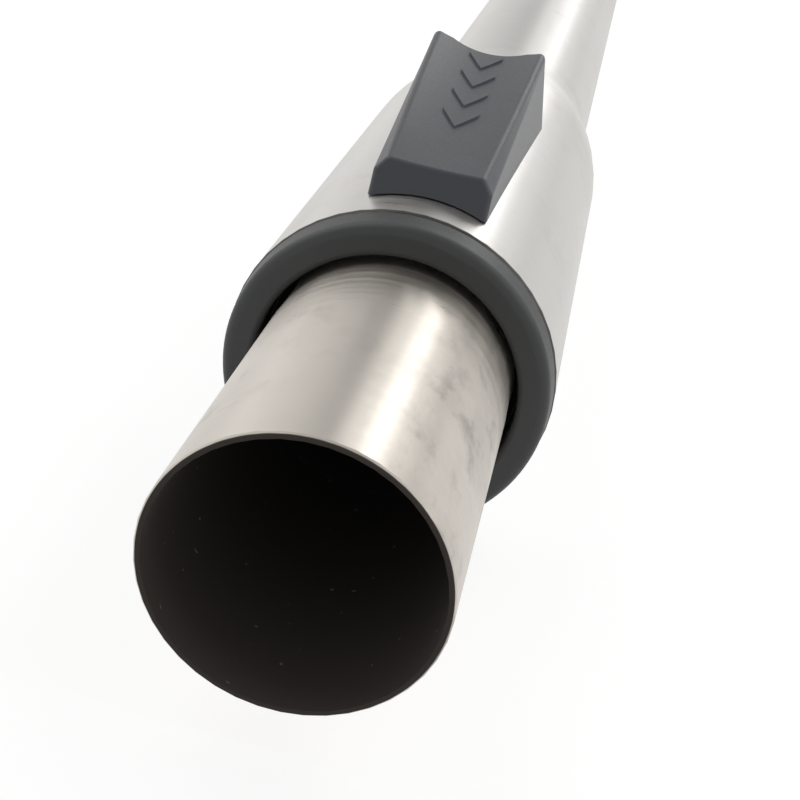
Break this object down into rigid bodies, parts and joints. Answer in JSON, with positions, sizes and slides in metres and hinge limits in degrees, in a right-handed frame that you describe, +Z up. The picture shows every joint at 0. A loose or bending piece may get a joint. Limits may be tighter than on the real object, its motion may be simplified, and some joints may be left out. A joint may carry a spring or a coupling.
{
  "type": "telescopic vacuum wand",
  "caption": "Telescopic steel vacuum wand: an inner tube slides out of an outer tube, held by a sprung pawl under a grey slide button on the widened front end.",
  "frame": {"origin": "on the floor under the tubes' axis, at the middle of the pushed-in wand's length", "axes": "+Y along the tubes from the floor tool's end to the handle's end, +Z up on the button's side"},
  "size_m": [0.0468, 0.5494, 0.0588],
  "materials": {
    "tube_steel": "satin brushed stainless steel, brushed round the tube",
    "collar_plastic": "dark grey moulded plastic, fine satin",
    "button_plastic": "grey moulded plastic, fine matt grain",
    "guide_plastic": "natural acetal",
    "seal_rubber": "soft black rubber",
    "lock_steel": "plain spring and pin steel"
  },
  "bodies": {
    "outer": {"outer_tube": "tube_steel", "front_collar": "collar_plastic", "wiper_seal": "seal_rubber", "guide_shell_upper": "guide_plastic", "guide_shell_lower": "guide_plastic", "guide_key": "guide_plastic", "guide_seal": "seal_rubber", "pawl_pin": "lock_steel", "pawl_spring": "lock_steel", "return_spring_left": "lock_steel", "return_spring_right": "lock_steel", "spring_pin_left": "lock_steel", "spring_pin_right": "lock_steel"},
    "inner": {"inner_tube": "tube_steel", "rear_bush_left": "guide_plastic", "rear_bush_right": "guide_plastic"},
    "button": {"slide_button": "button_plastic", "lock_slider": "guide_plastic"},
    "pawl": {"lock_pawl": "lock_steel"}
  },
  "joints": [
    {"name": "tube_slide", "type": "slide", "parent": "outer", "child": "inner", "axis": [0, -1, 0], "range_m": [0, 0.336]},
    {"name": "button_slide", "type": "slide", "parent": "outer", "child": "button", "axis": [0, -1, 0], "range_m": [0, 0.006], "stiffness_N_per_m": 800, "springref_m": -0.002, "deforming": ["return_spring_left", "return_spring_right"]},
    {"name": "pawl_lift", "type": "hinge", "parent": "outer", "child": "pawl", "pos_m": [0, -0.17435, 0.043], "axis": [-1, 0, 0], "range_deg": [0, 8.6], "stiffness_Nm_per_rad": 0.2, "springref_deg": -2.86, "deforming": ["pawl_spring"]}
  ],
  "couplings": [
    {"joint": "pawl_lift", "follows": "button_slide", "rad_per_m": 25}
  ]
}
